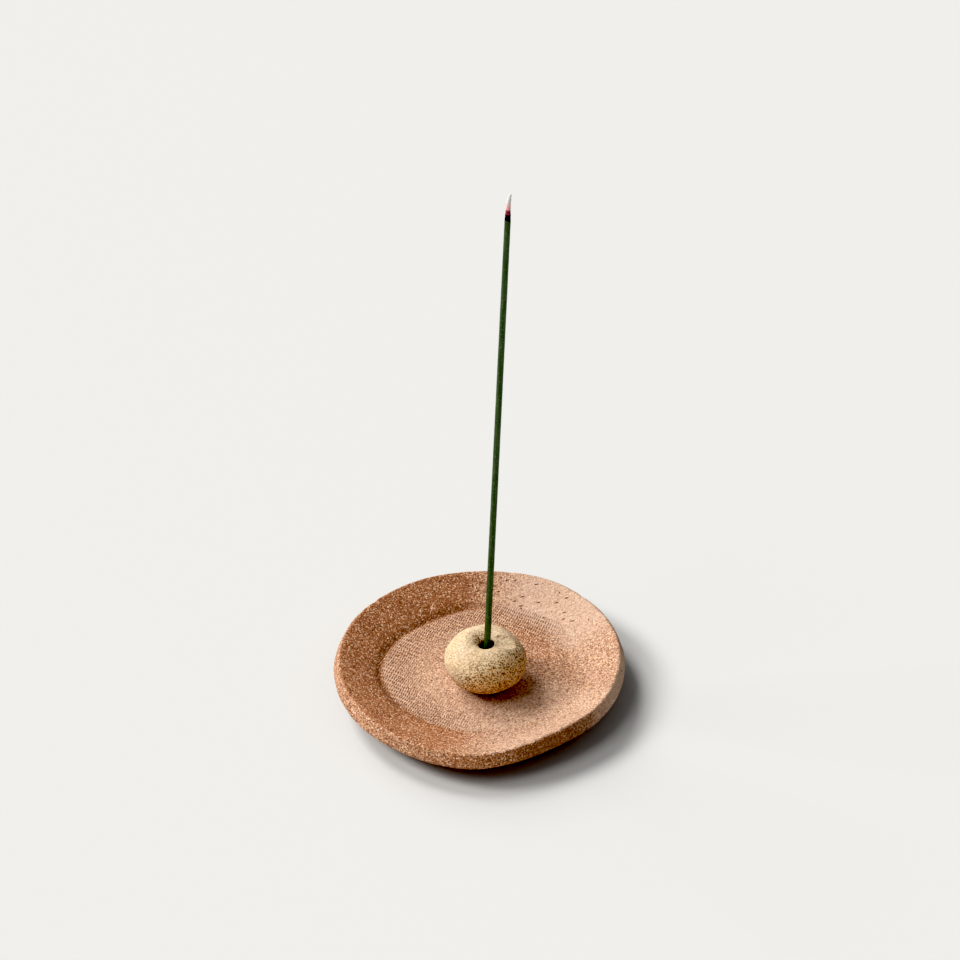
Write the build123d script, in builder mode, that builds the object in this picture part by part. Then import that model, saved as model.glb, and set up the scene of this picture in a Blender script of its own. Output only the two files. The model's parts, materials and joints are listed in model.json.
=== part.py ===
from build123d import *
import os
from math import cos, radians, sin, sqrt

# Incense stick holder: a hand-formed clay dish, a loose clay bead and a lit incense stick.
# Millimetres, +Z up. The origin is the middle of the dish's flat foot, on the table. +X is to the right
# and +Y is away from a person who faces the dish.

# Dish: a thick slab of clay whose edge is turned up all round
RIM_RADIUS = 50.5
RIM_HEIGHT = 14.1
EDGE_THICKNESS = 5.6
EDGE_TILT = 22.0
BROW_ROUNDING = 1.5
CREST_ROUNDING = 0.9
FLOOR_RADIUS = 34.0
FLOOR_THICKNESS = 8.0
FOOT_RADIUS = 36.0

# Unevenness of the hand-formed dish at twelve stations, counter-clockwise from the right-hand side
RIM_RADIUS_WOBBLE = (-0.3, 0.7, 0.8, -0.5, -0.8, -0.5, -0.5, -0.6, 0.0, 0.6, -2.3, -1.4)
RIM_HEIGHT_WOBBLE = (0.0, 0.2, 0.3, 0.1, 0.0, -0.1, 0.0, -0.1, -0.2, -0.4, 0.5, 0.2)
FLOOR_RADIUS_WOBBLE = (2.5, 2.5, 2.2, 1.2, -1.3, -0.7, 0.0, -1.6, -1.5, -1.0, 0.0, 1.5)

# Bead: a flattened ball of clay that stands on the dish's floor, dimpled around its hole
BEAD_X = 2.3
BEAD_Y = -5.5
BEAD_RADIUS = 14.05
BEAD_SWELL = 10.5
BEAD_BELLY_HEIGHT = 9.8
BEAD_CROWN_HEIGHT = 18.5
BEAD_CROWN_RADIUS = 7.0
MOUTH_DROP = 2.0
MOUTH_RADIUS = 2.5

# Pinch that a fingertip left in the crown, from the hole out to the right
PINCH_RADIUS = 5.5
PINCH_DEPTH = 1.4
PINCH_TURN = -6.0

# Socket that the stick stands in: a poked mouth that narrows to a snug, leaning bore
SOCKET_DEPTH = 14.0
SOCKET_GRIP = 7.0
SOCKET_CLEARANCE = 0.08
SOCKET_SHIFT = 0.45

# Stick and its burnt end, measured along the leaning axis
STICK_LEAN = 2.07
STICK_LENGTH = 186.0
STICK_FOOT_DIAMETER = 2.36
STICK_TIP_DIAMETER = 2.06
CHAR_LENGTH = 2.2
CHAR_DIAMETER = 1.9
EMBER_LENGTH = 1.6
EMBER_DIAMETER = 1.65
ASH_LENGTH = 6.1
ASH_TIP_DIAMETER = 1.0
ASH_BEND = 0.45

# Dish: straight between its contours, from the foot out to the brow of the edge, up the edge to the
# crest, and down the wall to the floor
crest_radius = RIM_RADIUS - EDGE_THICKNESS * sin(radians(EDGE_TILT))
brow_height = RIM_HEIGHT - EDGE_THICKNESS * cos(radians(EDGE_TILT))
stations = len(RIM_RADIUS_WOBBLE)
even = (0.0,) * stations


def contour(radius, height, radius_wobble=even, height_wobble=even):
    """A closed smooth line round the dish, through one point at each station."""
    points = []
    for station in range(stations):
        turn = radians(360 / stations * station)
        reach = radius + radius_wobble[station]
        points.append((reach * cos(turn), reach * sin(turn), height + height_wobble[station]))
    with BuildLine(mode=Mode.PRIVATE) as line:
        Spline(*points, periodic=True)
    return line.wire()


def rings(piece):
    """The edges that run all the way round a piece."""
    return piece.edges().filter_by(lambda edge: edge.is_closed)


with BuildPart() as dish:
    add(
        Solid.make_loft(
            [
                contour(FOOT_RADIUS, 0),
                contour(RIM_RADIUS, brow_height, RIM_RADIUS_WOBBLE, RIM_HEIGHT_WOBBLE),
                contour(crest_radius, RIM_HEIGHT, RIM_RADIUS_WOBBLE, RIM_HEIGHT_WOBBLE),
                contour(FLOOR_RADIUS, FLOOR_THICKNESS, FLOOR_RADIUS_WOBBLE),
            ],
            ruled=True,
        )
    )
    fillet(rings(dish).sort_by(SortBy.LENGTH)[-1], BROW_ROUNDING)
    fillet(rings(dish).sort_by(Axis.Z)[-1], CREST_ROUNDING)
dish.part.label = "dish"

# The bead stands on the dish's floor, and the stick's leaning axis passes through the bead's mouth
bead_foot = Vector(BEAD_X, BEAD_Y, FLOOR_THICKNESS)
mouth_height = BEAD_CROWN_HEIGHT - MOUTH_DROP
mouth_centre = bead_foot + Vector(0, 0, mouth_height)
shoulder_height = (BEAD_BELLY_HEIGHT + BEAD_CROWN_HEIGHT) / 2
lean = Vector(sin(radians(STICK_LEAN)), 0, cos(radians(STICK_LEAN)))
stick_foot = mouth_centre + Vector(SOCKET_SHIFT, 0, 0) - lean * SOCKET_DEPTH
bore_radius = STICK_FOOT_DIAMETER / 2 + SOCKET_CLEARANCE


def flank(height):
    """The (radius, height) of the bead's round flank at a height above its base."""
    rise = (height - BEAD_BELLY_HEIGHT) / BEAD_SWELL
    return BEAD_RADIUS * sqrt(1 - rise**2), height


def across_stick(distance, sideways=0.0):
    """The plane square to the stick at a distance from its foot."""
    return Plane(stick_foot + lean * distance + Vector(sideways, 0, 0), x_dir=(0, 1, 0), z_dir=lean)


with BuildPart() as bead:
    with BuildSketch(Plane(bead_foot, x_dir=(1, 0, 0), z_dir=(0, -1, 0))):
        with BuildLine():
            outline = Spline(
                flank(0),
                flank(BEAD_BELLY_HEIGHT / 2),
                flank(BEAD_BELLY_HEIGHT),
                flank(shoulder_height),
                (BEAD_CROWN_RADIUS, BEAD_CROWN_HEIGHT),
                (MOUTH_RADIUS, mouth_height),
            )
            Polyline(outline @ 1, (0, mouth_height), (0, 0), outline @ 0)
        make_face()
    revolve(axis=Axis(bead_foot, (0, 0, 1)))

    # The pinch is a round trough that starts over the hole
    pinch_centre = bead_foot + Vector(0, 0, BEAD_CROWN_HEIGHT - PINCH_DEPTH + PINCH_RADIUS)
    pinch_way = Vector(cos(radians(PINCH_TURN)), sin(radians(PINCH_TURN)), 0)
    with BuildSketch(Plane(pinch_centre, z_dir=pinch_way)):
        Circle(PINCH_RADIUS)
    extrude(amount=BEAD_RADIUS, mode=Mode.SUBTRACT)

    # The bore grips the stick's foot, and the mouth above it is wider
    with BuildSketch(across_stick(0)):
        Circle(bore_radius)
    extrude(amount=SOCKET_GRIP, mode=Mode.SUBTRACT)
    with BuildSketch(across_stick(SOCKET_GRIP)):
        Circle(bore_radius)
    with BuildSketch(Plane(mouth_centre)):
        Circle(MOUTH_RADIUS)
    loft(mode=Mode.SUBTRACT)
bead.part.label = "bead"

# Stick, char, ember and ash stand end to end along the leaning axis
ember_start = STICK_LENGTH + CHAR_LENGTH
ash_start = ember_start + EMBER_LENGTH
ash_end = ash_start + ASH_LENGTH

with BuildPart() as incense_stick:
    with BuildSketch(across_stick(0)):
        Circle(STICK_FOOT_DIAMETER / 2)
    with BuildSketch(across_stick(STICK_LENGTH)):
        Circle(STICK_TIP_DIAMETER / 2)
    loft()
incense_stick.part.label = "incense_stick"

with BuildPart() as char_collar:
    with BuildSketch(across_stick(STICK_LENGTH)):
        Circle(STICK_TIP_DIAMETER / 2)
    with BuildSketch(across_stick(ember_start)):
        Circle(CHAR_DIAMETER / 2)
    loft()
char_collar.part.label = "char_collar"

with BuildPart() as ember:
    with BuildSketch(across_stick(ember_start)):
        Circle(CHAR_DIAMETER / 2)
    with BuildSketch(across_stick(ash_start)):
        Circle(EMBER_DIAMETER / 2)
    loft()
ember.part.label = "ember"

with BuildPart() as ash_tip:
    with BuildSketch(across_stick(ash_start)):
        Circle(EMBER_DIAMETER / 2)
    with BuildSketch(across_stick((ash_start + ash_end) / 2, ASH_BEND / 4)):
        Circle((EMBER_DIAMETER + ASH_TIP_DIAMETER) / 4)
    with BuildSketch(across_stick(ash_end, ASH_BEND)):
        Circle(ASH_TIP_DIAMETER / 2)
    loft()
ash_tip.part.label = "ash_tip"

os.makedirs("parts", exist_ok=True)
for piece in (dish, bead, incense_stick, char_collar, ember, ash_tip):
    export_step(piece.part, f"parts/{piece.part.label}.step")
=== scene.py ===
import json
import math

import bpy
import numpy as np
from bpy.props import FloatProperty, FloatVectorProperty, PointerProperty
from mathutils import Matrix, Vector, noise


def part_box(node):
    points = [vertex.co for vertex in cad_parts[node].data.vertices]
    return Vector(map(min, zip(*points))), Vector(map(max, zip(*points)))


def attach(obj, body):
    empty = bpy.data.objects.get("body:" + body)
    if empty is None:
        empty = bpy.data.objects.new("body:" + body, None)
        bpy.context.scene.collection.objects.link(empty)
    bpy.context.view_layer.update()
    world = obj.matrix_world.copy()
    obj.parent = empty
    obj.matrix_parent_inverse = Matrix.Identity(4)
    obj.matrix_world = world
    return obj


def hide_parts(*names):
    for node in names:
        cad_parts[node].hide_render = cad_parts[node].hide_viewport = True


bl_info = {
    "name": "Incense Stick Holder",
    "version": (1, 0, 0),
    "blender": (4, 5, 0),
    "location": "3D View > Sidebar > Incense Holder",
    "description": "Dresses an incense stick holder: a terracotta dish, a sandy clay bead and a lit stick",
    "category": "Object",
}

# The fixed frame: the solids of the object, at rest, in metres
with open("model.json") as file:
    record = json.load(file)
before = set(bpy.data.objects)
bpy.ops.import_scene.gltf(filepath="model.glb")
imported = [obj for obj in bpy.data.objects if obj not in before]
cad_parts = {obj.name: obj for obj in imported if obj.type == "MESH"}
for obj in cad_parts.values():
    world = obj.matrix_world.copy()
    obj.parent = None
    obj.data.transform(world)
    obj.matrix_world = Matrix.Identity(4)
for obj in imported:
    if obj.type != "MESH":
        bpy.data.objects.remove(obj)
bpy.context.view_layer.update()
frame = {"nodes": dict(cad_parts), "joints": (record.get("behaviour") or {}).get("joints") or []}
MM = 0.001
TAU = 2 * math.pi

# Where the solids say that things are
DISH_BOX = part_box("dish")
BEAD_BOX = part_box("bead")
BEAD_MIDDLE = (BEAD_BOX[0] + BEAD_BOX[1]) / 2
FLOOR_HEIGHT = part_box("bead")[0].z
STICK_AXIS = Vector(next(j["axis"] for j in frame["joints"] if j["name"] == "stick_pull")).normalized()

# Numbers that the points of a mesh carry for its finish
PRINT_LAYER = "cloth_print"
# Rubbed paler places of the dish, which also carry painted light, and painted shade on the floor right of
# the bead
WEAR_AND_LIGHT_LAYER = "rubbed_bloom"
PAINTED_SIDE_LAYER = "fire_toast"
# Painted shade under the dish and on its outer edge at the back right and front right
PAINTED_UNDERSIDE_LAYER = "stained_underside"
# Painted shade along the corner between the dish's floor and wall, and on the back-left wall
PAINTED_CREASE_LAYER = "dark_crease"
# Painted shade inside the bead's hole and round its foot
PAINTED_HOLE_SHADE_LAYER = "sooty_hole"

# Places round the dish: strength, then direction, half-width (180 is all round) and fade in degrees
GROOVED = ((1.0, 150, 48, 50),)
# Where the cloth print and the painted shade in its grooves are strong
PRINTED = ((1.0, 84, 34, 26), (1.0, 178, 62, 40))
# Rubbed paler floor all round; more of it at the front right is painted light, and less of it right of the
# bead is painted shade
FLOOR_WEAR_LIGHT_AND_SHADE = ((0.58, 0, 180, 1), (0.18, -45, 35, 40), (0.12, -140, 30, 30), (-0.33, 25, 22, 30))
# Walls at the back right, right and front right: paler partly from rubbing and partly as painted light
WALL_WEAR_AND_LIGHT = ((0.93, 48, 16, 38), (0.54, 8, 30, 30), (0.74, -50, 25, 35))
# Outer edge at the left and right: paler as painted light, with some rubbed wear
EDGE_WEAR_AND_LIGHT = ((0.26, 195, 42, 35), (1.0, -8, 12, 36))
# Painted shade along the corner of the floor, strongest at the left and back
PAINTED_CREASE_SHADE = ((1.0, 160, 50, 45), (0.6, 95, 25, 25))
# Where that painted shade reaches further onto the floor, at the left
WIDE_PAINTED_CREASE_SHADE = ((1.0, 185, 30, 30),)
# Painted shade on the wall at the back left
PAINTED_WALL_SHADE = ((0.35, 122, 22, 30),)
# Painted shade on the outer edge at the back right and front right, where it faces away from the lights
PAINTED_EDGE_SHADE = ((0.5, 32, 18, 14), (0.4, -55, 12, 14))

# Chips on the dish's rim: direction in degrees, share of the edge from its crest to its brow, width and
# depth in millimetres
RIM_CHIPS = (
    (-71.5, 0.0, 1.5, 0.8),
    (-67.0, 0.1, 1.1, 0.5),
    (-58.0, 0.05, 1.6, 0.55),
    (-46.0, 0.0, 1.3, 0.45),
    (-33.0, 0.9, 1.4, 0.3),
    (-84.0, 0.7, 1.2, 0.25),
    (-101.0, 0.1, 1.4, 0.3),
    (-128.0, 0.8, 1.6, 0.35),
    (-150.0, 0.0, 1.2, 0.25),
    (171.0, 0.6, 1.5, 0.3),
    (140.0, 0.1, 1.2, 0.3),
    (112.0, 0.9, 1.8, 0.4),
    (78.0, 0.2, 1.3, 0.3),
    (41.0, 0.0, 1.1, 0.25),
    (12.0, 0.8, 1.5, 0.3),
)

# Nicks in the dish's wall: their size, and their places to the right and away, in millimetres
NICK_LENGTH = 1.5
NICK_WIDTH = 0.52
NICKS = (
    (20.1, 41.4), (15.2, 37.7), (12.5, 36.4), (14.6, 34.4), (20.7, 34.8),
    (30.5, 34.3), (29.5, 29.0), (29.3, 26.4), (32.3, 24.7), (27.0, 33.4),
)

# The cloth print in the dish's floor: ridges and broken floats per millimetre, to the right and away
RIDGE_WAVES = (1.057, -0.4545)
FLOAT_WAVES = (0.307, 0.4775)

# Lumps in the clay, laid over each other: shares of their height and of their width, and a seed
DISH_LUMPS = ((1.0, 1.0, 1), (0.4, 0.45, 2), (0.22, 0.2, 3))
BEAD_LUMPS = ((1.0, 1.0, 4), (0.4, 0.4, 5), (0.16, 0.14, 6), (0.10, 0.07, 7))
CREASE_SEED = 8

# Steps through the noise from one seed to the next
LUMP_STEP = Vector((13.7, 5.1, 9.3))
DENT_STEP = Vector((7.3, 1.9, 4.7))
PIT_STEP = Vector((3.1, 8.3, 2.9))
FRAY_STEP = Vector((0, 0, 5.5))

# Radius of the floor that never rises under the bead, and the slope of the dish's wall
BEAD_SEAT = 14 * MM
WALL_SLOPE = 0.42

# Way that the bead's side with painted shade faces
PAINTED_SHADE_SIDE = Vector((0.62, -0.62, -0.48)).normalized()

# Points in one ring of the stick, and the stage's fixed values
STICK_SIDES = 28
TABLE_HALF = 15.0
BACKDROP_STRENGTH = 1.24
SENSOR_WIDTH_MM = 36


def length(name, description, default):
    """A property that holds a length in metres."""
    return FloatProperty(
        name=name, description=description, default=default, min=0, precision=5, unit="LENGTH"
    )


def share(name, description, default, most=1.0):
    """A property that holds a plain number."""
    return FloatProperty(name=name, description=description, default=default, min=0, max=most)


def angle(name, description, degrees):
    """A property that holds an angle, given here in degrees."""
    return FloatProperty(
        name=name, description=description, default=math.radians(degrees), subtype="ANGLE", unit="ROTATION"
    )


def colour(name, description, default):
    """A property that holds a colour, in linear red, green and blue."""
    return FloatVectorProperty(
        name=name, description=description, default=default, size=3, min=0, max=1, subtype="COLOR"
    )


class DishSettings(bpy.types.PropertyGroup):
    """Sizes and colours of the terracotta dish."""

    mesh_step: length("Mesh Step", "Size of the squares in the dish's mesh", 0.49 * MM)
    unevenness: length("Unevenness", "Height of the lumps that hands left in the clay", 0.22 * MM)
    lump: length("Lump", "Width of those lumps", 13 * MM)
    groove: length("Groove", "Depth of the groove at the floor's edge, left and back", 0.5 * MM)
    sweep: length("Sweep", "Half-width of the soft curve from floor to wall on the right", 6 * MM)
    print_depth: length("Print Depth", "Height of the cloth print in the floor", 0.2 * MM)
    sand: length("Sand", "Width of the grains of sand in the clay", 0.39 * MM)
    grain: length("Grain", "Width of the coarser grains of grog", 1.0 * MM)
    grain_height: length("Grain Height", "How far the grains stand out", 0.16 * MM)
    clay: colour("Clay", "Fired body of the dish", (0.455, 0.194, 0.098))
    clay_dark: colour("Dark Clay", "Darker patches of the body", (0.385, 0.152, 0.074))
    # Also the colour of the painted light in those paler places
    bloom_and_light: colour("Bloom", "Body where it was rubbed smooth", (0.60, 0.42, 0.315))
    grog: colour("Grog", "Pale grains in the clay", (0.96, 0.70, 0.50))
    ochre: colour("Ochre", "Orange grains in the clay", (0.70, 0.34, 0.15))
    # Also the colour of the painted shade at the floor's edge, under the dish, on its outer edges and in
    # pits, nicks and print grooves
    iron_and_shade: colour("Iron", "Dark gaps, nicks and pinholes in the clay", (0.165, 0.062, 0.028))


class BeadSettings(bpy.types.PropertyGroup):
    """Sizes and colours of the sandy clay bead."""

    mesh_step: length("Mesh Step", "Size of the squares in the bead's mesh", 0.24 * MM)
    unevenness: length("Unevenness", "Height of the lumps that rolling left in the bead", 0.3 * MM)
    lump: length("Lump", "Width of those lumps", 9 * MM)
    flat: length("Flat", "Depth of the flattened shoulder at the back right", 0.4 * MM)
    tuck: length("Tuck", "How far the bead draws in above its foot at the front", 0.9 * MM)
    grain: length("Grain", "Width of the grains of sand", 0.35 * MM)
    grain_height: length("Grain Height", "How far the grains stand out", 0.26 * MM)
    sand: colour("Sand", "Body of the bead", (0.765, 0.59, 0.40))
    sand_dark: colour("Dark Sand", "Darker patches of the body", (0.75, 0.51, 0.29))
    # Painted shade: the golden brown of the bead's shaded side
    painted_shade_tint: colour("Toast", "Body where the fire browned it", (1.0, 0.53, 0.185))
    quartz: colour("Quartz", "Bright grains in the sand", (1.0, 0.79, 0.50))
    speck: colour("Speck", "Dark grains in the sand", (0.13, 0.036, 0.008))
    # Painted shade: the near-black inside the hole and round the foot
    shade_black: colour("Soot", "Inside of the hole", (0.02, 0.014, 0.011))


class StickSettings(bpy.types.PropertyGroup):
    """Sizes and colours of the incense stick and its burnt end."""

    ring_step: length("Ring Step", "Distance between the rings of the stick's mesh", 0.6 * MM)
    roughness_height: length("Roughness", "Depth of the hollows in the pressed stick", 0.05 * MM)
    green: colour("Green", "Body of the stick", (0.037, 0.071, 0.020))
    green_light: colour("Light Green", "Pale specks of leaf powder", (0.22, 0.28, 0.12))
    char: colour("Char", "Blackened end", (0.010, 0.008, 0.007))
    ember: colour("Ember", "Skin of the glowing ring", (0.29, 0.062, 0.085))
    glow: colour("Glow", "Light of the glowing ring", (0.55, 0.05, 0.07))
    ash: colour("Ash", "Burnt-out ash", (0.84, 0.82, 0.77))
    ash_warm: colour("Warm Ash", "Ash that is still hot", (0.92, 0.46, 0.44))


class StageSettings(bpy.types.PropertyGroup):
    """Floor, lights and camera."""

    floor: colour("Floor", "Pale table top", (0.676, 0.670, 0.647))
    key: share("Key", "Strength of the main light at the back left", 1.59, 20)
    key_turn: angle("Key Turn", "Way to that light, counter-clockwise from the right", 139)
    key_rise: angle("Key Rise", "Height of that light above the table", 49)
    key_size: angle("Key Size", "Width of that light as the object sees it", 20)
    side: share("Side", "Strength of the lower light at the left", 1.88, 20)
    side_turn: angle("Side Turn", "Way to that light, counter-clockwise from the right", 176)
    side_rise: angle("Side Rise", "Height of that light above the table", 40)
    side_size: angle("Side Size", "Width of that light as the object sees it", 18)
    fill: share("Fill", "Strength of the weaker light at the front left", 0.97, 20)
    fill_turn: angle("Fill Turn", "Way to that light, counter-clockwise from the right", 210)
    fill_rise: angle("Fill Rise", "Height of that light above the table", 52)
    fill_size: angle("Fill Size", "Width of that light as the object sees it", 26)
    back: share("Back", "Strength of the low light at the back", 0.63, 20)
    back_turn: angle("Back Turn", "Way to that light, counter-clockwise from the right", 120)
    back_rise: angle("Back Rise", "Height of that light above the table", 32)
    back_size: angle("Back Size", "Width of that light as the object sees it", 26)
    room: share("Room", "Strength of the light from all round", 0.19, 5)
    black: colour("Black", "Light that the picture shows as black", (0.043, 0.040, 0.038))
    aim: FloatVectorProperty(
        name="Aim", description="Point that the camera looks at", subtype="TRANSLATION", unit="LENGTH",
        default=(0.35 * MM, 0, 90.3 * MM), precision=5,
    )
    distance: length("Distance", "From the camera to that point", 1.3)
    pitch: angle("Pitch", "How far the camera looks down", 37.36)
    lens: FloatProperty(
        name="Lens", description="Focal length in millimetres", default=148.35, unit="CAMERA"
    )


class HolderSettings(bpy.types.PropertyGroup):
    """All settings of the incense stick holder."""

    dish: PointerProperty(type=DishSettings, name="Dish", description="The terracotta dish")
    bead: PointerProperty(type=BeadSettings, name="Bead", description="The sandy clay bead")
    stick: PointerProperty(type=StickSettings, name="Stick", description="The incense stick")
    stage: PointerProperty(type=StageSettings, name="Stage", description="Floor, lights and camera")


class Value:
    """One socket of a shader node. Arithmetic on it adds Math nodes."""

    def __init__(self, finish, socket):
        self.finish = finish
        self.socket = socket

    def __add__(self, other):
        return self.finish.math("ADD", self, other)

    def __radd__(self, other):
        return self.finish.math("ADD", other, self)

    def __sub__(self, other):
        return self.finish.math("SUBTRACT", self, other)

    def __rsub__(self, other):
        return self.finish.math("SUBTRACT", other, self)

    def __mul__(self, other):
        return self.finish.math("MULTIPLY", self, other)

    def __rmul__(self, other):
        return self.finish.math("MULTIPLY", other, self)

    def out(self, name):
        """Another output of the same node."""
        return Value(self.finish, self.socket.node.outputs[name])


class Finish:
    """The node tree of one material, or of the world."""

    def __init__(self, owner):
        owner.use_nodes = True
        self.owner = owner
        self.tree = owner.node_tree
        self.tree.nodes.clear()

    def node(self, kind, settings=None, inputs=None, output=0):
        """Adds a node: its settings first, then its sockets, by name, identifier or number."""
        made = self.tree.nodes.new(kind)
        for name, setting in (settings or {}).items():
            setattr(made, name, setting)
        for key, given in (inputs or {}).items():
            socket = self.find(made.inputs, key)
            if isinstance(given, Value):
                self.tree.links.new(given.socket, socket)
            elif socket.type == "RGBA":
                socket.default_value = (*given, 1.0)
            else:
                socket.default_value = given
        return Value(self, self.find(made.outputs, output)) if len(made.outputs) else made

    @staticmethod
    def find(sockets, key):
        """A socket by number, identifier or name."""
        if isinstance(key, int):
            return sockets[key]
        return next((s for s in sockets if s.identifier == key), None) or sockets[key]

    def math(self, operation, *values):
        """A Math node on up to three values."""
        return self.node("ShaderNodeMath", {"operation": operation}, dict(enumerate(values)))

    def vector(self, operation, output="Vector", **inputs):
        """A Vector Math node on the sockets given by their identifiers."""
        return self.node("ShaderNodeVectorMath", {"operation": operation}, inputs, output)

    def mix(self, factor, first, second):
        """The first colour where the factor is 0, and the second where it is 1."""
        inputs = {"Factor_Float": factor, "A_Color": first, "B_Color": second}
        return self.node("ShaderNodeMix", {"data_type": "RGBA"}, inputs, "Result_Color")

    def rise(self, value, low, high):
        """0 below low, 1 above high, and a smooth step between them."""
        inputs = {"Value": value, "From Min": low, "From Max": high}
        return self.node("ShaderNodeMapRange", {"interpolation_type": "SMOOTHSTEP"}, inputs)

    def fall(self, value, low, high):
        """1 below low, 0 above high, and a smooth step between them."""
        inputs = {"Value": value, "From Min": low, "From Max": high, "To Min": 1.0, "To Max": 0.0}
        return self.node("ShaderNodeMapRange", {"interpolation_type": "SMOOTHSTEP"}, inputs)

    def millimetres(self):
        """The place on the piece, in millimetres."""
        place = self.node("ShaderNodeTexCoord", output="Object")
        return self.vector("SCALE", Vector=place, Scale=1 / MM)

    def lumps(self, place, size, detail=0.0):
        """Smooth noise from 0 to 1, with lumps of a size in millimetres."""
        inputs = {"Vector": place, "Scale": 1 / size, "Detail": detail, "Roughness": 0.6}
        return self.node("ShaderNodeTexNoise", None, inputs, "Fac")

    def stray(self, place, scale, detail, most):
        """A place that noise pushes about, by up to a distance in millimetres."""
        inputs = {"Vector": place, "Scale": scale, "Detail": detail}
        push = self.node("ShaderNodeTexNoise", None, inputs, "Color")
        return self.vector("MULTIPLY_ADD", Vector=push, Vector_001=(most,) * 3, Vector_002=place)

    def grains(self, place, size):
        """Cells of a size in millimetres: the distance from each middle, and a random colour each."""
        inputs = {"Vector": place, "Scale": 1 / size}
        return self.node("ShaderNodeTexVoronoi", {"feature": "F1"}, inputs, "Distance")

    def draws(self, cells):
        """Three random numbers from 0 to 1 for each cell."""
        split = self.node("ShaderNodeSeparateColor", None, {"Color": cells.out("Color")})
        return split, split.out("Green"), split.out("Blue")

    def layer(self, name):
        """A number that each point of the mesh carries."""
        return self.node("ShaderNodeAttribute", {"attribute_name": name}, None, "Fac")

    def bump(self, height):
        """A normal that is bent by a height in millimetres."""
        return self.node("ShaderNodeBump", None, {"Height": height, "Distance": MM, "Strength": 1.0})

    def surface(self, **inputs):
        """The finished surface. Names with a space are written with an underscore."""
        sockets = {name.replace("_", " "): given for name, given in inputs.items()}
        shader = self.node("ShaderNodeBsdfPrincipled", None, sockets)
        self.node("ShaderNodeOutputMaterial", None, {"Surface": shader})
        return self.owner


def terracotta(settings):
    """Unglazed red clay full of grog, rubbed paler in places, with nicks and a cloth print. The paler
    places also carry painted light, and the floor's edge, underside, outer edges, pits, nicks and print
    grooves carry painted shade.
    """
    finish = Finish(bpy.data.materials.new("terracotta"))
    place = finish.millimetres()
    # Rubbed paler places, which also carry painted light
    rubbed = finish.layer(WEAR_AND_LIGHT_LAYER)
    print_and_groove_shade = finish.layer(PRINT_LAYER)

    strayed = finish.stray(place, scale=0.9, detail=1.0, most=0.5)
    sand = finish.grains(place, settings.sand / MM)
    shade, warmth, height = finish.draws(sand)
    dome = finish.fall(sand, 0.10, 0.65)
    cells = finish.grains(strayed, settings.grain / MM)
    kind, tint, _ = finish.draws(cells)
    lump = finish.fall(cells, 0.16, 0.42)
    grit = finish.lumps(place, 0.36, 2.0)
    # Painted shade along the corner between floor and wall, and on the back-left wall
    crease_shade = finish.layer(PAINTED_CREASE_LAYER)
    coarse = (1 - 0.7 * finish.math("POWER", rubbed, 3)) * (1 - 0.4 * crease_shade)

    patches = finish.rise(finish.lumps(place, 12, 2.0), 0.36, 0.64)
    body = finish.mix(patches, settings.clay, settings.clay_dark)
    body = finish.mix(crease_shade, body, settings.iron_and_shade)
    body = finish.mix(rubbed, body, settings.bloom_and_light)
    body = finish.mix(finish.fall(warmth, 0.10, 0.40) * 0.45 * coarse, body, settings.ochre)
    body = finish.mix(finish.fall(shade, 0.0, 0.5) * 0.9 * coarse, body, settings.iron_and_shade)
    spark = finish.mix((0.3 + 0.7 * warmth) * (0.82 + 0.18 * rubbed), settings.ochre, settings.grog)
    body = finish.mix(finish.rise(shade, 0.74 - 0.36 * rubbed, 1.0) * coarse, body, spark)
    body = finish.mix(finish.fall(kind, 0.12, 0.16) * lump * 0.6 * coarse, body, settings.ochre)
    body = finish.mix(finish.rise(kind, 0.84, 0.88) * lump * (0.4 + 0.6 * tint), body, settings.grog)
    # Painted shade under the dish and on its outer edges
    body = finish.mix(finish.layer(PAINTED_UNDERSIDE_LAYER), body, settings.iron_and_shade)

    # Pits and nicks: dented, and painted dark as painted shade
    holes = finish.grains(strayed, 2.6)
    chance, depth, _ = finish.draws(holes)
    hole = finish.fall(holes, 0.07, 0.17) * finish.rise(chance, 0.58, 0.62)
    hole = finish.math("MAXIMUM", hole, nicks(finish, place) * finish.rise(rubbed, 0.05, 0.3))
    body = finish.mix(hole * 0.95, body, settings.iron_and_shade)

    thread = cloth_print(finish, place)
    # Painted shade in the grooves of the cloth print
    body = finish.mix(print_and_groove_shade * finish.fall(thread, 0.15, 0.6) * 0.9, body, settings.iron_and_shade)
    relief = dome * (0.25 + 0.75 * height) + grit * 0.6 + lump * tint
    relief = relief * coarse * (settings.grain_height / MM)
    relief = relief + print_and_groove_shade * thread * (settings.print_depth / MM) - hole * (0.1 + 0.12 * depth)
    return finish.surface(
        Base_Color=body,
        Roughness=0.86 + 0.1 * grit,
        Specular_IOR_Level=0.25,
        Normal=finish.bump(relief),
    )


def nicks(finish, place):
    """Short nicks that a tool left in the wall at the back right, from 0 to 1. They are dented, and
    painted dark as painted shade.
    """
    shrink = Vector((NICK_WIDTH / NICK_LENGTH, 1, 0))
    plan = finish.vector("MULTIPLY", Vector=place, Vector_001=shrink)
    found = 0.0
    for spot in NICKS:
        away = finish.vector("DISTANCE", "Value", Vector=plan, Vector_001=shrink * Vector((*spot, 0)))
        found = finish.math("MAXIMUM", found, finish.fall(away, 0.35 * NICK_WIDTH, 0.55 * NICK_WIDTH))
    return found


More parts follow.
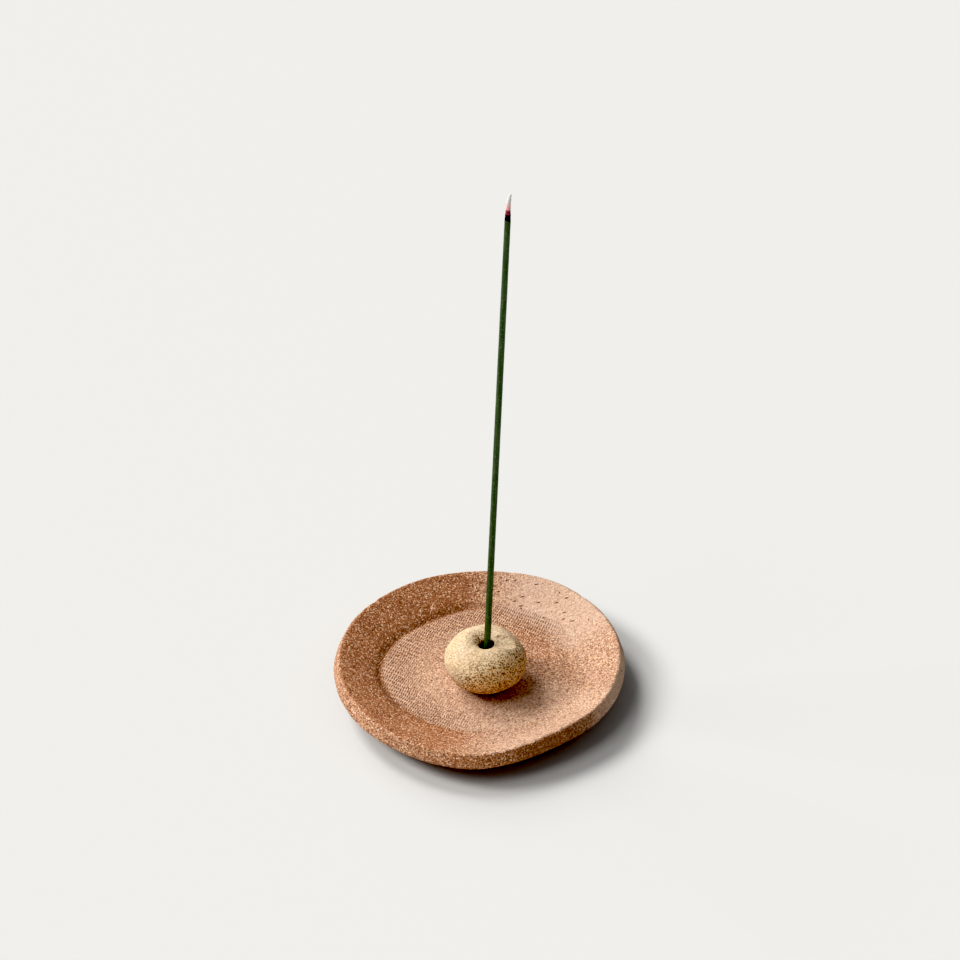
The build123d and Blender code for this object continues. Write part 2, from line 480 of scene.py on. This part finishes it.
def cloth_print(finish, place):
    """The twill of the cloth under the slab: ridges broken into short floats, from 0 to 1."""
    swayed = finish.stray(place, scale=0.12, detail=0.0, most=1.6)
    ridge = finish.vector("DOT_PRODUCT", "Value", Vector=swayed, Vector_001=(*RIDGE_WAVES, 0))
    floats = finish.vector("DOT_PRODUCT", "Value", Vector=swayed, Vector_001=(*FLOAT_WAVES, 0))
    across = finish.math("COSINE", ridge * TAU)
    along = finish.math("COSINE", floats * TAU)
    return 0.5 + across * (0.26 + 0.24 * along)


def sand_clay(settings):
    """Pale clay full of fine sand, with dark grains, and painted shade on its shaded side, between its
    grains, round its foot and in its hole.
    """
    finish = Finish(bpy.data.materials.new("sand clay"))
    place = finish.millimetres()
    cells = finish.grains(place, settings.grain / MM)
    kind, tint, height = finish.draws(cells)
    dome = finish.fall(cells, 0.08, 0.60)
    gap = finish.rise(cells, 0.44, 0.72)
    grit = finish.lumps(place, 0.26, 2.0)
    patches = finish.rise(finish.lumps(place, 6, 2.0), 0.38, 0.66)
    # Painted shade on the side facing away from the lights: a golden brown tint, and grains that stand out
    # more
    shade_side = finish.layer(PAINTED_SIDE_LAYER)
    painted_shade_tint = finish.rise(shade_side, 0.12, 0.85)
    browned = 0.36 + 0.64 * finish.rise(shade_side, 0.04, 0.52)

    body = finish.mix(patches * 0.6, settings.sand, settings.sand_dark)
    body = finish.mix(finish.rise(tint, 0.3, 1.0) * 0.4, body, settings.sand_dark)
    body = finish.mix(painted_shade_tint, body, settings.painted_shade_tint)
    # Bright and dark grains, which stand out more on the shaded side as painted light and shade
    bright = finish.fall(kind, 0.42, 0.52) * browned * (1 - 0.5 * painted_shade_tint)
    body = finish.mix(bright, body, settings.quartz)
    body = finish.mix(finish.rise(kind, 0.60, 0.66) * browned * (0.7 + 0.3 * tint), body, settings.speck)
    # Painted shade in the gaps between the grains, stronger on the shaded side
    body = finish.mix(gap * browned * 0.22, body, settings.speck)
    # Painted shade inside the hole and round the foot
    body = finish.mix(finish.layer(PAINTED_HOLE_SHADE_LAYER), body, settings.shade_black)
    relief = (dome * (0.25 + 0.75 * height) + grit * 0.6) * (0.6 + 0.4 * browned)
    relief = relief * (settings.grain_height / MM)
    return finish.surface(
        Base_Color=body,
        Roughness=0.88 + 0.1 * grit,
        Specular_IOR_Level=0.2,
        Normal=finish.bump(relief),
    )


def incense(settings):
    """Pressed dark green powder with pale specks."""
    finish = Finish(bpy.data.materials.new("incense"))
    place = finish.millimetres()
    cells = finish.grains(place, 0.42)
    kind, tint, height = finish.draws(cells)
    grit = finish.lumps(place, 0.16, 2.0)
    streak = finish.lumps(finish.vector("MULTIPLY", Vector=place, Vector_001=(1, 1, 0.08)), 0.7, 1.0)
    body = finish.mix(finish.rise(streak, 0.35, 0.7) * 0.15, settings.green, settings.green_light)
    speck = finish.rise(kind, 0.84, 0.9) * finish.fall(cells, 0.3, 0.55)
    body = finish.mix(speck * (0.3 + 0.7 * tint), body, settings.green_light)
    body = finish.mix(finish.fall(grit, 0.32, 0.5) * 0.25, body, settings.char)
    relief = grit * 0.03 + finish.fall(cells, 0.1, 0.7) * height * 0.02
    return finish.surface(
        Base_Color=body,
        Roughness=0.5 + 0.2 * grit,
        Specular_IOR_Level=0.5,
        Normal=finish.bump(relief),
    )


def charred(settings):
    """Black char, crazed and sooty."""
    finish = Finish(bpy.data.materials.new("char"))
    place = finish.millimetres()
    grit = finish.lumps(place, 0.2, 3.0)
    cells = finish.grains(place, 0.45)
    body = finish.mix(finish.rise(grit, 0.5, 0.8) * 0.5, settings.char, settings.green)
    relief = grit * 0.08 - finish.rise(cells, 0.4, 0.7) * 0.06
    return finish.surface(
        Base_Color=body, Roughness=0.8 + 0.2 * grit, Specular_IOR_Level=0.2, Normal=finish.bump(relief)
    )


def glowing(settings):
    """A dull red glow that shows between flecks of char."""
    finish = Finish(bpy.data.materials.new("ember"))
    place = finish.millimetres()
    grit = finish.lumps(place, 0.3, 3.0)
    crack = finish.rise(grit, 0.24, 0.58)
    body = finish.mix(crack, settings.char, settings.ember)
    glow = finish.mix(crack, settings.char, settings.glow)
    return finish.surface(
        Base_Color=body,
        Roughness=0.75 + 0.2 * grit,
        Emission_Color=glow,
        Emission_Strength=0.05,
        Normal=finish.bump(grit * 0.1),
    )


def ashen(settings, hot_end):
    """Flaky ash, still warm at the end that touches the ember."""
    finish = Finish(bpy.data.materials.new("ash"))
    place = finish.millimetres()
    grit = finish.lumps(place, 0.25, 3.0)
    away = finish.vector("DISTANCE", "Value", Vector=place, Vector_001=tuple(hot_end / MM))
    warm = finish.fall(away + grit * 1.2, 1.0, 4.6)
    body = finish.mix(warm, settings.ash, settings.ash_warm)
    body = finish.mix(finish.fall(grit, 0.3, 0.48) * 0.5, body, settings.char)
    return finish.surface(
        Base_Color=body, Roughness=0.9 + 0.1 * grit, Specular_IOR_Level=0.2, Normal=finish.bump(grit * 0.1)
    )


def table_top(settings):
    """A plain pale surface with the faintest tooth."""
    finish = Finish(bpy.data.materials.new("table top"))
    place = finish.millimetres()
    tooth = finish.lumps(place, 0.8, 2.0)
    body = finish.mix(tooth, settings.floor, tuple(0.985 * c for c in settings.floor))
    return finish.surface(Base_Color=body, Roughness=0.7 + 0.1 * tooth, Specular_IOR_Level=0.1)


def add_piece(name, mesh):
    """A new object with that mesh, in the scene."""
    piece = bpy.data.objects.new(name, mesh)
    bpy.context.scene.collection.objects.link(piece)
    return piece


def keep_modifiers(piece):
    """Turns a piece's modifiers into its mesh."""
    graph = bpy.context.evaluated_depsgraph_get()
    mesh = bpy.data.meshes.new_from_object(piece.evaluated_get(graph))
    piece.modifiers.clear()
    piece.data = mesh
    mesh.name = piece.name
    mesh.materials.clear()
    mesh.shade_smooth()


def even_mesh(node, name, step):
    """A new piece with an even mesh of small squares over the shape of a solid."""
    piece = add_piece(name, frame["nodes"][node].data.copy())
    squares = piece.modifiers.new("even squares", "REMESH")
    squares.mode = "VOXEL"
    squares.voxel_size = step
    keep_modifiers(piece)
    return piece


def soften(piece, rounds, weights):
    """Smooths a piece's mesh, more where a point's weight is nearer to 1."""
    group = piece.vertex_groups.new(name="soften")
    for number, weight in enumerate(weights):
        group.add([number], float(weight), "REPLACE")
    smooth = piece.modifiers.new("soften", "SMOOTH")
    smooth.factor = 0.5
    smooth.iterations = rounds
    smooth.vertex_group = group.name
    keep_modifiers(piece)
    piece.vertex_groups.clear()


def read_points(mesh):
    """The places of a mesh's points, as rows of three numbers."""
    points = np.empty(len(mesh.vertices) * 3)
    mesh.vertices.foreach_get("co", points)
    return points.reshape(-1, 3)


def read_normals(mesh):
    """The directions that a mesh's points face."""
    normals = np.empty(len(mesh.vertices) * 3)
    mesh.vertex_normals.foreach_get("vector", normals)
    return normals.reshape(-1, 3)


def write_points(mesh, points):
    """Moves a mesh's points."""
    mesh.vertices.foreach_set("co", points.ravel())
    mesh.update()


def write_layer(mesh, name, values):
    """Gives each point of a mesh a number that a material can read."""
    layer = mesh.attributes.new(name, "FLOAT", "POINT")
    layer.data.foreach_set("value", values.astype(np.float32))


def lumps_at(points, size, seed):
    """Smooth noise from about -1 to 1 at each point, with lumps of a size in metres."""
    shift = LUMP_STEP * seed
    return np.array([noise.noise(Vector(point) / size + shift) for point in points])


def skin(points, width, layers):
    """Lumps of several sizes, laid over each other, with the widest of a width in metres."""
    return sum(height * lumps_at(points, scale * width, seed) for height, scale, seed in layers)


def ramp(values, low, high):
    """0 below low, 1 above high, and a smooth step between them."""
    t = np.clip((values - low) / (high - low), 0, 1)
    return t * t * (3 - 2 * t)


def towards(turn, middle, half, fade):
    """1 within half an angle of the middle direction, fading to 0, all in degrees."""
    off = np.abs((np.degrees(turn) - middle + 180) % 360 - 180)
    return 1 - ramp(off, half, half + fade)


def strongest(turn, places):
    """How strong the strongest of some places round the dish is in each direction."""
    return np.max([strength * towards(turn, *place) for strength, *place in places], axis=0)


def together(turn, places):
    """How strong some places round the dish are together in each direction."""
    return sum(strength * towards(turn, *place) for strength, *place in places)


def floor_edge(turn):
    """How far out the dish's floor reaches in each direction, from the solid's own corner."""
    level = read_points(frame["nodes"]["dish"].data)
    level = level[np.abs(level[:, 2] - FLOOR_HEIGHT) < 1e-6]
    reach = np.hypot(level[:, 0], level[:, 1])
    corner = reach > 0.75 * reach.max()
    return np.interp(turn, np.arctan2(level[corner, 1], level[corner, 0]), reach[corner], period=TAU)


def chip_depth(points, turn, reach):
    """How deep the chips cut at each point, in metres."""
    cut = np.zeros(len(points))
    for degrees, down, width, depth in RIM_CHIPS:
        near = towards(turn, degrees, 3, 0.1) > 0.5
        crest = np.flatnonzero(near)[np.argmax(points[near, 2])]
        brow = np.flatnonzero(near)[np.argmax(reach[near])]
        spot = points[crest] * (1 - down) + points[brow] * down
        away = np.linalg.norm(points - spot, axis=1)
        cut = np.maximum(cut, depth * MM * np.exp(-((away / (width * MM)) ** 2)))
    return cut


class INCENSE_OT_dish(bpy.types.Operator):
    """Make the terracotta dish, with its hand-formed unevenness, chipped rim and cloth print"""

    bl_idname = "incense.dish"
    bl_label = "Make Dish"
    bl_options = {"REGISTER", "UNDO"}

    def execute(self, context):
        settings = context.scene.incense_holder.dish
        piece = even_mesh("dish", "terracotta_dish", settings.mesh_step)
        mesh = piece.data
        points, normals = read_points(mesh), read_normals(mesh)
        turn = np.arctan2(points[:, 1], points[:, 0])
        reach = np.hypot(points[:, 0], points[:, 1])
        beyond = reach - floor_edge(turn)
        inside = normals[:, 2] > 0.5
        on_floor = inside * ramp(-beyond, 0, 2 * MM)
        outward = ramp(normals[:, 0] * np.cos(turn) + normals[:, 1] * np.sin(turn), 0.1, 0.4)

        lumpy = self.lumps(settings, points, normals, inside, on_floor)
        moved = points + normals * (lumpy - chip_depth(points, turn, reach))[:, None]
        moved[:, 2] += inside * self.corner(settings, turn, beyond)
        write_points(mesh, np.clip(moved, DISH_BOX[0], DISH_BOX[1]))

        write_layer(mesh, PRINT_LAYER, inside * self.print_strength(turn, reach, beyond))
        up_wall = ramp(reach, 22 * MM, 36 * MM)
        # Rubbed paler places, with painted light and, on the floor right of the bead, painted shade
        worn_and_lit = np.maximum(together(turn, FLOOR_WEAR_LIGHT_AND_SHADE) * on_floor, strongest(turn, WALL_WEAR_AND_LIGHT) * up_wall)
        on_edge = outward * ramp(points[:, 2], 5 * MM, 8 * MM)
        rubbed = np.maximum(worn_and_lit * ramp(normals[:, 2], 0.6, 0.85), on_edge * strongest(turn, EDGE_WEAR_AND_LIGHT))
        write_layer(mesh, WEAR_AND_LIGHT_LAYER, rubbed)
        write_layer(mesh, PAINTED_CREASE_LAYER, inside * self.crease_shade(points, turn, beyond))
        # Painted shade on the faces that look down, and on the outer edge at the back right and front
        # right
        under = 0.8 * ramp(-normals[:, 2], 0.4, 0.8)
        write_layer(mesh, PAINTED_UNDERSIDE_LAYER, np.maximum(under, outward * strongest(turn, PAINTED_EDGE_SHADE)))
        mesh.materials.append(terracotta(settings))
        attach(piece, "dish")
        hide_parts("dish")
        return {"FINISHED"}

    def lumps(self, settings, points, normals, inside, on_floor):
        """How far hands pushed each point out or in. The foot stays flat, and the floor almost so."""
        on_foot = ramp(-normals[:, 2], 0.93, 0.99)
        lumpy = settings.unevenness * skin(points, settings.lump, DISH_LUMPS)
        lumpy = (lumpy - 0.3 * settings.unevenness) * (1 - on_foot) * (1 - 0.75 * on_floor)
        from_bead = np.hypot(points[:, 0] - BEAD_MIDDLE.x, points[:, 1] - BEAD_MIDDLE.y)
        return np.where(inside & (from_bead < BEAD_SEAT), np.minimum(lumpy, 0), lumpy)

    def corner(self, settings, turn, beyond):
        """Lift of the corner between floor and wall: a groove left and back, a soft curve elsewhere."""
        grooved = strongest(turn, GROOVED)
        inset, width = 0.3 * MM, 1.3 * MM
        groove = settings.groove * np.exp(-(((beyond + inset) / width) ** 2))
        curve = WALL_SLOPE * np.clip(settings.sweep - np.abs(beyond), 0, None) ** 2 / (4 * settings.sweep)
        return curve * (1 - grooved) - groove * grooved

    def print_strength(self, turn, reach, beyond):
        """How clear the cloth print and the painted shade in its grooves are: faint on the floor, and
        strong near its edge left and back.
        """
        near_edge = ramp(reach, 15 * MM, 29 * MM)
        on_print = ramp(1.5 * MM - beyond, 0, 2.5 * MM)
        return on_print * (0.12 + 0.88 * near_edge * strongest(turn, PRINTED))

    def crease_shade(self, points, turn, beyond):
        """How strong the painted shade is along the ragged edge of the floor, and on the back-left wall
        above it.
        """
        ragged = beyond + 0.7 * MM * lumps_at(points, 4 * MM, CREASE_SEED)
        inner = (1.6 + 1.8 * strongest(turn, WIDE_PAINTED_CREASE_SHADE)) * MM
        crease_shade = np.where(ragged > 0, np.exp(-ragged / (5 * MM)), np.exp(-((ragged / inner) ** 2)))
        crease_shade = 0.85 * crease_shade * strongest(turn, PAINTED_CREASE_SHADE)
        return np.maximum(crease_shade, strongest(turn, PAINTED_WALL_SHADE) * (ragged > 0))


def ends_of(node):
    """The middles and radii of a solid's two ends along the stick: lower middle, upper middle, radii."""
    points = read_points(frame["nodes"][node].data)
    along = points @ np.array(STICK_AXIS)
    found = []
    for end in (along.min(), along.max()):
        ring = points[np.abs(along - end) < 0.02 * MM]
        middle = (ring.min(axis=0) + ring.max(axis=0)) / 2
        found.append((Vector(middle), float(np.linalg.norm(ring - middle, axis=1).max())))
    (lower, lower_radius), (upper, upper_radius) = found
    return lower, upper, lower_radius, upper_radius


class INCENSE_OT_bead(bpy.types.Operator):
    """Make the sandy clay bead, dimpled and pinched around its hole"""

    bl_idname = "incense.bead"
    bl_label = "Make Bead"
    bl_options = {"REGISTER", "UNDO"}

    def execute(self, context):
        settings = context.scene.incense_holder.bead
        piece = even_mesh("bead", "sand_clay_bead", settings.mesh_step)
        radius = ends_of("incense_stick")[2]
        off_axis = self.off_axis(read_points(piece.data))
        soften(piece, rounds=14, weights=ramp(off_axis, 2.2 * radius, 3.6 * radius))
        mesh = piece.data
        points, normals = read_points(mesh), read_normals(mesh)
        off_axis = self.off_axis(points)
        height = points[:, 2] - FLOOR_HEIGHT
        free = ramp(off_axis, 1.6 * radius, 3.2 * radius) * ramp(height, 0, 2 * MM)

        lumpy = settings.unevenness * (skin(points, settings.lump, BEAD_LUMPS) - 0.25)
        shoulder = (BEAD_MIDDLE.x + 10 * MM, BEAD_MIDDLE.y + 5 * MM, BEAD_BOX[1].z - 3 * MM)
        from_shoulder = np.linalg.norm(points - np.array(shoulder), axis=1)
        flat = settings.flat * np.exp(-((from_shoulder / (6 * MM)) ** 2))
        low = 1 - ramp(height, 2.5 * MM, 6.5 * MM)
        tuck = settings.tuck * low * ramp(-normals[:, 1], 0.1, 0.8)
        moved = points + normals * ((lumpy - flat - tuck) * free)[:, None]
        write_points(mesh, np.clip(moved, BEAD_BOX[0], BEAD_BOX[1]))
        # Painted shade: how far each point faces the bead's shaded side
        toward_shade = normals @ np.array(PAINTED_SHADE_SIDE)
        write_layer(mesh, PAINTED_SIDE_LAYER, ramp(toward_shade + 0.15 * lumpy / settings.unevenness, -0.6, 0.9))
        # Painted shade round the bead's foot and inside its hole
        foot_shade = 0.6 * (1 - ramp(height, 0.4 * MM, 2.6 * MM))
        in_hole = self.in_hole(points, normals, off_axis / radius)
        write_layer(mesh, PAINTED_HOLE_SHADE_LAYER, np.maximum(in_hole, foot_shade))
        mesh.materials.append(sand_clay(settings))
        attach(piece, "bead")
        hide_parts("bead")
        return {"FINISHED"}

    def off_axis(self, points):
        """How far each point is from the line along the middle of the stick."""
        from_foot = points - np.array(ends_of("incense_stick")[0])
        return np.linalg.norm(np.cross(from_foot, np.array(STICK_AXIS)), axis=1)

    def in_hole(self, points, normals, radii):
        """1 in the hole and 0 outside. Radii says how many stick radii each point is off the axis."""
        inward = np.array(BEAD_MIDDLE) - points
        inward = (inward[:, :2] * normals[:, :2]).sum(axis=1) / np.hypot(inward[:, 0], inward[:, 1])
        wall = (1 - ramp(radii, 2.1, 2.4)) * ramp(inward, 0.55, 0.75)
        return np.maximum(wall, 1 - ramp(radii, 1.85, 2.0))


def spun(node, name, rings, dent, dent_size, seed, bend=1.0, taper=1.0, ragged=0.0):
    """A new piece along the stick: rings of points from end to end of a solid, dented by noise."""
    lower, upper, lower_radius, upper_radius = ends_of(node)
    sides = STICK_SIDES
    across = STICK_AXIS.orthogonal().normalized()
    beside = STICK_AXIS.cross(across)
    whole = upper - lower
    straight = STICK_AXIS * whole.dot(STICK_AXIS)
    vertices = []
    for ring in range(rings + 1):
        t = ring / rings
        middle = lower + straight * t + (whole - straight) * t**bend
        radius = lower_radius + (upper_radius - lower_radius) * t**taper
        for side in range(sides):
            turn = TAU * side / sides
            out = across * math.cos(turn) + beside * math.sin(turn)
            spot = middle + out * radius
            hollow = 0.5 + 0.5 * noise.noise(spot / dent_size + DENT_STEP * seed)
            hollow += 0.25 + 0.25 * noise.noise(spot / (0.4 * dent_size) + PIT_STEP * seed)
            spot = spot - out * dent * hollow
            drop = ragged * t**4 * (0.5 + 0.5 * noise.noise(out * 2.2 + FRAY_STEP * seed))
            vertices.append(spot - STICK_AXIS * drop)
    faces = []
    for ring in range(rings):
        for side in range(sides):
            here = ring * sides + side
            beyond = ring * sides + (side + 1) % sides
            faces.append((here, beyond, beyond + sides, here + sides))
    for first, middle, flip in ((0, lower, True), (rings * sides, upper, False)):
        hub = len(vertices)
        drop = 0.7 * ragged if not flip else 0
        vertices.append(middle - STICK_AXIS * drop)
        for side in range(sides):
            rim = (first + side, first + (side + 1) % sides)
            faces.append((rim[1], rim[0], hub) if flip else (*rim, hub))
    mesh = bpy.data.meshes.new(name)
    mesh.from_pydata(vertices, [], faces)
    mesh.update()
    mesh.shade_smooth()
    return add_piece(name, mesh)


def dress_stick_piece(piece, node, material):
    """Gives a piece of the stick its finish and its place on the stick, and hides the solid that it stands
    for.
    """
    piece.data.materials.append(material)
    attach(piece, "stick")
    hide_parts(node)


class INCENSE_OT_stick(bpy.types.Operator):
    """Make the unburnt green stick"""

    bl_idname = "incense.stick"
    bl_label = "Make Stick"
    bl_options = {"REGISTER", "UNDO"}

    def execute(self, context):
        settings = context.scene.incense_holder.stick
        lower, upper, _, _ = ends_of("incense_stick")
        rings = round((upper - lower).length / settings.ring_step)
        dent = settings.roughness_height
        stick = spun("incense_stick", "green_stick", rings, dent, dent_size=1.6 * MM, seed=1)
        dress_stick_piece(stick, "incense_stick", incense(settings))
        return {"FINISHED"}


class INCENSE_OT_burnt_end(bpy.types.Operator):
    """Make the char, the ember and the crooked ash"""

    bl_idname = "incense.burnt_end"
    bl_label = "Make Burnt End"
    bl_options = {"REGISTER", "UNDO"}

    def execute(self, context):
        settings = context.scene.incense_holder.stick
        char = spun("char_collar", "charred_end", rings=22, dent=0.10 * MM, dent_size=0.6 * MM, seed=2)
        dress_stick_piece(char, "char_collar", charred(settings))
        ember = spun("ember", "glowing_ember", rings=18, dent=0.12 * MM, dent_size=0.5 * MM, seed=3)
        dress_stick_piece(ember, "ember", glowing(settings))
        hot_end = ends_of("ash_tip")[0]
        ash = spun(
            "ash_tip", "crooked_ash", rings=44, dent=0.16 * MM, dent_size=0.7 * MM, seed=4,
            bend=2.0, taper=2.4, ragged=1.0 * MM,
        )
        dress_stick_piece(ash, "ash_tip", ashen(settings, hot_end))
        return {"FINISHED"}


class INCENSE_OT_stage(bpy.types.Operator):
    """Make the pale table top, the lights and the camera"""

    bl_idname = "incense.stage"
    bl_label = "Make Stage"
    bl_options = {"REGISTER", "UNDO"}

    def execute(self, context):
        settings = context.scene.incense_holder.stage
        mesh = bpy.data.meshes.new("table_top")
        corners = [(TABLE_HALF * x, TABLE_HALF * y, 0) for x, y in ((-1, -1), (1, -1), (1, 1), (-1, 1))]
        mesh.from_pydata(corners, [], [(0, 1, 2, 3)])
        mesh.materials.append(table_top(settings))
        add_piece("table_top", mesh)
        self.light(context, settings)
        self.camera(context, settings)
        return {"FINISHED"}

    def light(self, context, settings):
        """Soft lights from the left and the back, even light from all round, and the picture's black."""
        for name in ("key", "side", "fill", "back"):
            self.far_light(context, settings, name)
        world = bpy.data.worlds.new("studio")
        context.scene.world = world
        finish = Finish(world)
        shown = finish.node("ShaderNodeLightPath", output="Is Camera Ray")
        even = finish.node("ShaderNodeBackground", None, {"Color": (1, 1, 1), "Strength": settings.room})
        backdrop = {"Color": settings.floor, "Strength": BACKDROP_STRENGTH}
        pale = finish.node("ShaderNodeBackground", None, backdrop)
        both = finish.node("ShaderNodeMixShader", None, {0: shown, 1: even, 2: pale})
        finish.node("ShaderNodeOutputWorld", None, {"Surface": both})

        view = context.scene.view_settings
        view.view_transform = "Standard"
        view.use_curve_mapping = True
        view.curve_mapping.black_level = settings.black
        view.curve_mapping.update()

    def far_light(self, context, settings, name):
        """A round soft light far away, from the settings that start with its name."""
        lamp = bpy.data.lights.new(f"{name} light", "SUN")
        lamp.energy = getattr(settings, name)
        lamp.angle = getattr(settings, f"{name}_size")
        light = bpy.data.objects.new(f"{name} light", lamp)
        context.scene.collection.objects.link(light)
        turn, rise = getattr(settings, f"{name}_turn"), getattr(settings, f"{name}_rise")
        way = Vector((math.cos(rise) * math.cos(turn), math.cos(rise) * math.sin(turn), math.sin(rise)))
        light.location = way
        light.rotation_euler = way.to_track_quat("Z", "Y").to_euler()

    def camera(self, context, settings):
        """The viewpoint of the picture."""
        lens = bpy.data.cameras.new("camera")
        lens.sensor_width = SENSOR_WIDTH_MM
        lens.lens = settings.lens
        camera = bpy.data.objects.new("camera", lens)
        context.scene.collection.objects.link(camera)
        back = Vector((0, -math.cos(settings.pitch), math.sin(settings.pitch)))
        camera.location = Vector(settings.aim) + back * settings.distance
        camera.rotation_euler = back.to_track_quat("Z", "Y").to_euler()
        context.scene.camera = camera


MAKERS = (INCENSE_OT_stage, INCENSE_OT_dish, INCENSE_OT_bead, INCENSE_OT_stick, INCENSE_OT_burnt_end)


class INCENSE_PT_holder(bpy.types.Panel):
    """Lists what makes the incense stick holder"""

    bl_idname = "INCENSE_PT_holder"
    bl_label = "Incense Stick Holder"
    bl_space_type = "VIEW_3D"
    bl_region_type = "UI"
    bl_category = "Incense Holder"

    def draw(self, context):
        holder = context.scene.incense_holder
        for maker in MAKERS:
            self.layout.operator(maker.bl_idname)
        for group in (holder.dish, holder.bead, holder.stick, holder.stage):
            box = self.layout.box()
            for name in group.__annotations__:
                box.prop(group, name)


SETTINGS = (DishSettings, BeadSettings, StickSettings, StageSettings, HolderSettings)
CLASSES = (*SETTINGS, *MAKERS, INCENSE_PT_holder)


def register():
    for each in CLASSES:
        bpy.utils.register_class(each)
    bpy.types.Scene.incense_holder = PointerProperty(type=HolderSettings)


def unregister():
    del bpy.types.Scene.incense_holder
    for each in reversed(CLASSES):
        bpy.utils.unregister_class(each)


def main():
    register()
    bpy.ops.incense.stage()
    bpy.ops.incense.dish()
    bpy.ops.incense.bead()
    bpy.ops.incense.stick()
    bpy.ops.incense.burnt_end()


if __name__ == "__main__":
    main()
